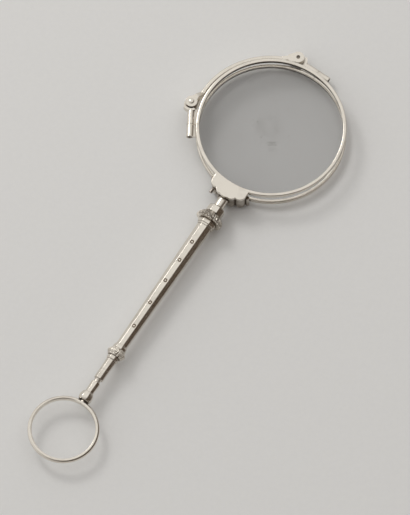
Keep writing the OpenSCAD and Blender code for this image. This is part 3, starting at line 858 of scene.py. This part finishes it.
def rim_profile(radius, half):
    """Half-round band with a groove inside for the lens: (radius, z)."""
    inside = radius - 1.05 * MM
    outer, inner = 0.34 * MM, 0.2 * MM
    crown = 0.03 * MM
    steps = 5
    upper = [(radius - outer + outer * cos(pi / 2 * i / steps),
              half - crown - outer + outer * sin(pi / 2 * i / steps))
             for i in range(steps + 1)]
    upper.append(((radius + inside) / 2 - 0.05 * MM, half))
    upper += [(inside + inner - inner * sin(pi / 2 * i / steps),
               half - crown - inner + inner * cos(pi / 2 * i / steps))
              for i in range(steps)]
    upper += [(inside, 0.53 * MM - crown), (inside + 0.4 * MM, 0.1 * MM)]
    return upper + [(r, -z) for r, z in reversed(upper)]


# Operators, one for each piece or group of like pieces


class LORGNETTE_OT_frame(bpy.types.Operator):
    """Gives the frame's own pieces their silver and steel"""

    bl_idname = "lorgnette.frame"
    bl_label = "Finish Frame"

    def execute(self, context):
        made = finishes()
        for names, material in ((POLISHED_NODES, made["polished"]),
                                (PAINTED_SHADE_NODES, made["painted_shade"]),
                                (STEEL_NODES, made["steel"]),
                                (SPRING_NODES, made["spring"])):
            for name in names:
                for slot in frame["nodes"][name].material_slots:
                    slot.material = material
        return {"FINISHED"}


class LORGNETTE_OT_rounded(bpy.types.Operator):
    """Builds the faceted pieces with the edges that polishing has rounded"""

    bl_idname = "lorgnette.rounded"
    bl_label = "Build Rounded Pieces"

    def execute(self, context):
        made = finishes()
        for node, (finish, width) in ROUNDED_NODES.items():
            if node == "cover_plate":
                mesh = soldered_plate(node, width * MM)
            else:
                mesh = round_edges(node, width * MM)
            piece = add_piece(mesh, node + "_worn", body_of_node(node),
                              "silver", made[finish], node)
            flat = piece.modifiers.new("Flat Faces", "WEIGHTED_NORMAL")
            flat.keep_sharp = True
        return {"FINISHED"}


class LORGNETTE_OT_knops(bpy.types.Operator):
    """Builds the two engraved knops of the handle"""

    bl_idname = "lorgnette.knops"
    bl_label = "Build Knops"

    def execute(self, context):
        made = finishes()
        sizes = context.scene.lorgnette_sizes
        for node, engraved in (("upper_knop", engraved_upper_knop),
                               ("lower_knop", engraved_lower_knop)):
            add_piece(engraved(sizes), node + "_engraved", "handle",
                      "silver", made["engraved"], node)
        return {"FINISHED"}


class LORGNETTE_OT_springs(bpy.types.Operator):
    """Winds the wire springs that turn the hinges open"""

    bl_idname = "lorgnette.springs"
    bl_label = "Wind Hinge Springs"

    def execute(self, context):
        made = finishes()
        sizes = context.scene.lorgnette_sizes
        wire = sizes.wire_radius
        sleeve = 1.4 * MM
        for side, body in (("front", "front_eyepiece"), ("back", "handle")):
            node = side + "_spring"
            low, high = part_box(node)
            rivet_low, rivet_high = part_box(side + "_rivet")
            pivot = (rivet_low + rivet_high) / 2
            radius = sleeve - wire
            rise = high.z - low.z - 2 * wire
            steps = round(28 * sizes.coil_turns)
            mesh = bmesh.new()
            bmesh.ops.create_circle(
                mesh, cap_ends=True, radius=wire, segments=10,
                matrix=Matrix.Translation((radius, 0, low.z + wire))
                @ Matrix.Rotation(pi / 2, 4, "X"))
            bmesh.ops.spin(
                mesh, geom=mesh.verts[:] + mesh.edges[:] + mesh.faces[:],
                cent=(0, 0, 0), axis=(0, 0, 1),
                dvec=(0, 0, rise / steps), angle=2 * pi * sizes.coil_turns,
                steps=steps, use_merge=False, use_duplicate=False)
            bmesh.ops.translate(mesh, vec=(pivot.x, pivot.y, 0),
                                verts=mesh.verts)
            add_piece(mesh, node + "_wound", body, "spring_steel",
                      made["spring"], node)
        return {"FINISHED"}


class LORGNETTE_OT_rims(bpy.types.Operator):
    """Turns the two split rims"""

    bl_idname = "lorgnette.rims"
    bl_label = "Turn Rims"

    def execute(self, context):
        made = finishes()
        gap = 0.12 * MM
        for side, body in (("front", "front_eyepiece"), ("back", "handle")):
            node = side + "_rim"
            low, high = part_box(node)
            lens_low, lens_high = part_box(side + "_lens")
            centre = (lens_low + lens_high) / 2
            radius = high.x - centre.x
            half = (high.z - low.z) / 2
            shut = gap / radius
            mesh = bmesh.new()
            outline = [mesh.verts.new((r, 0, z))
                       for r, z in rim_profile(radius, half)]
            mesh.faces.new(outline)
            bmesh.ops.rotate(mesh, cent=(0, 0, 0), verts=mesh.verts,
                             matrix=Matrix.Rotation(
                                 RIM_CUTS[side] + shut / 2, 3, "Z"))
            bmesh.ops.spin(
                mesh, geom=mesh.verts[:] + mesh.edges[:] + mesh.faces[:],
                cent=(0, 0, 0), axis=(0, 0, 1), dvec=(0, 0, 0),
                angle=2 * pi - shut, steps=220, use_merge=False,
                use_duplicate=False)
            bmesh.ops.translate(mesh, vec=centre, verts=mesh.verts)
            add_piece(mesh, node + "_turned", body, "silver",
                      made["polished"], node)
        return {"FINISHED"}


class LORGNETTE_OT_lenses(bpy.types.Operator):
    """Grinds the two biconvex lenses"""

    bl_idname = "lorgnette.lenses"
    bl_label = "Grind Lenses"

    def execute(self, context):
        finishes()
        for side, body, dust in (("front", "front_eyepiece", 1.0),
                                 ("back", "handle", 0.35)):
            node = side + "_lens"
            low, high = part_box(node)
            centre = (low + high) / 2
            thick = high.z - low.z
            reach = high.x - centre.x
            face = reach - 0.35 * MM
            edge = 0.45 * MM
            sag = thick / 2 - edge
            ball = (face ** 2 + sag ** 2) / (2 * sag)
            rings = 28
            crown = [(face * i / rings,
                      thick / 2 - ball
                      + (ball ** 2 - (face * i / rings) ** 2) ** 0.5)
                     for i in range(rings + 1)]
            profile = (crown + [(reach, 0.05 * MM), (reach, -0.05 * MM)]
                       + [(r, -y) for r, y in reversed(crown)])
            mesh = bmesh.new()
            spin_profile(mesh, profile, 160)
            bmesh.ops.rotate(mesh, cent=(0, 0, 0), verts=mesh.verts,
                             matrix=Matrix.Rotation(pi / 2, 3, "X"))
            bmesh.ops.translate(mesh, vec=centre, verts=mesh.verts)
            material = glass_material(f"{side.title()} Lens Glass",
                                      tuple(centre), dust)
            add_piece(mesh, node + "_ground", body, "lens_glass", material,
                      node)
        return {"FINISHED"}


def view_direction(stage):
    """From the object to the camera."""
    return Vector((sin(stage.azimuth) * cos(stage.elevation),
                   -cos(stage.azimuth) * cos(stage.elevation),
                   sin(stage.elevation)))


def studio_world(stage):
    """A room lit from the upper left, dim on the right and at the camera."""
    world = bpy.data.worlds.new("Studio")
    world.use_nodes = True
    tree = world.node_tree
    background = tree.nodes["Background"]
    towards = tree.nodes.new("ShaderNodeTexCoord").outputs["Generated"]
    facing = put(tree, "ShaderNodeVectorMath", {
        0: towards, 1: (-0.6, 0.2, 0.77),
    }, operation="DOT_PRODUCT").outputs["Value"]
    beside = put(tree, "ShaderNodeVectorMath", {
        0: towards, 1: view_direction(stage),
    }, operation="DOT_PRODUCT").outputs["Value"]
    shade = ramp(tree, beside, 0.93, 0.98, 1.0, 0.2)
    lit = maths(tree, "MULTIPLY", ramp(tree, facing, -0.2, 0.8), shade)
    tree.links.new(blend_colours(tree, lit, stage.dim_side,
                                 stage.bright_side),
                   background.inputs["Color"])
    arrange(tree)
    return world


class LORGNETTE_OT_stage(bpy.types.Operator):
    """Sets the floor, the room, the lamp and the camera"""

    bl_idname = "lorgnette.stage"
    bl_label = "Set Stage"

    def execute(self, context):
        scene = context.scene
        stage = scene.lorgnette_stage
        mesh = bmesh.new()
        bmesh.ops.create_grid(mesh, x_segments=1, y_segments=1, size=4.0)
        bmesh.ops.translate(mesh, vec=(0, 0, CAD_LOW.z), verts=mesh.verts)
        data = bpy.data.meshes.new("floor")
        mesh.to_mesh(data)
        mesh.free()
        data.materials.append(floor_material(stage.floor))
        floor = bpy.data.objects.new("floor", data)
        scene.collection.objects.link(floor)

        scene.world = studio_world(stage)

        place = Vector(KEY_PLACE)
        light = bpy.data.lights.new("key_panel", "AREA")
        light.shape = "SQUARE"
        light.size = KEY_SIDE
        light.energy = KEY_RADIANCE * pi * KEY_SIDE ** 2
        light.color = KEY_COLOUR
        lamp = bpy.data.objects.new("key_panel", light)
        lamp.location = Vector(PART_MIDDLE) + place
        lamp.rotation_euler = place.to_track_quat("Z", "Y").to_euler()
        scene.collection.objects.link(lamp)

        lens = bpy.data.cameras.new("photo_camera")
        lens.lens = stage.focal_length
        lens.clip_start, lens.clip_end = 0.01, 20
        camera = bpy.data.objects.new("photo_camera", lens)
        back = view_direction(stage)
        distance = stage.view_height * lens.lens / lens.sensor_width
        camera.location = Vector(stage.target) + back * distance
        camera.rotation_euler = back.to_track_quat("Z", "Y").to_euler()
        scene.collection.objects.link(camera)
        scene.camera = camera
        scene.view_settings.view_transform = "Standard"
        return {"FINISHED"}


class LORGNETTE_PT_panel(bpy.types.Panel):
    """Lists the steps that build the lorgnette"""

    bl_label = "Lorgnette"
    bl_idname = "LORGNETTE_PT_panel"
    bl_space_type = "VIEW_3D"
    bl_region_type = "UI"
    bl_category = "Lorgnette"

    def draw(self, context):
        layout = self.layout
        scene = context.scene
        for label, group in (("Sizes", scene.lorgnette_sizes),
                             ("Finish", scene.lorgnette_finish),
                             ("Stage", scene.lorgnette_stage)):
            box = layout.box()
            box.label(text=label)
            for name in group.__annotations__:
                box.prop(group, name)
        for operator in OPERATORS:
            layout.operator(operator.bl_idname)


GROUPS = {
    "lorgnette_sizes": LorgnetteSizes,
    "lorgnette_finish": LorgnetteFinish,
    "lorgnette_stage": LorgnetteStage,
}
OPERATORS = (
    LORGNETTE_OT_stage,
    LORGNETTE_OT_frame,
    LORGNETTE_OT_rounded,
    LORGNETTE_OT_knops,
    LORGNETTE_OT_springs,
    LORGNETTE_OT_rims,
    LORGNETTE_OT_lenses,
)


def register():
    for group in GROUPS.values():
        bpy.utils.register_class(group)
    for name, group in GROUPS.items():
        setattr(bpy.types.Scene, name,
                bpy.props.PointerProperty(type=group))
    for operator in OPERATORS:
        bpy.utils.register_class(operator)
    bpy.utils.register_class(LORGNETTE_PT_panel)


def unregister():
    bpy.utils.unregister_class(LORGNETTE_PT_panel)
    for operator in reversed(OPERATORS):
        bpy.utils.unregister_class(operator)
    for name, group in GROUPS.items():
        delattr(bpy.types.Scene, name)
        bpy.utils.unregister_class(group)


def main():
    register()
    for operator in OPERATORS:
        family, step = operator.bl_idname.split(".")
        getattr(getattr(bpy.ops, family), step)()


if __name__ == "__main__":
    main()
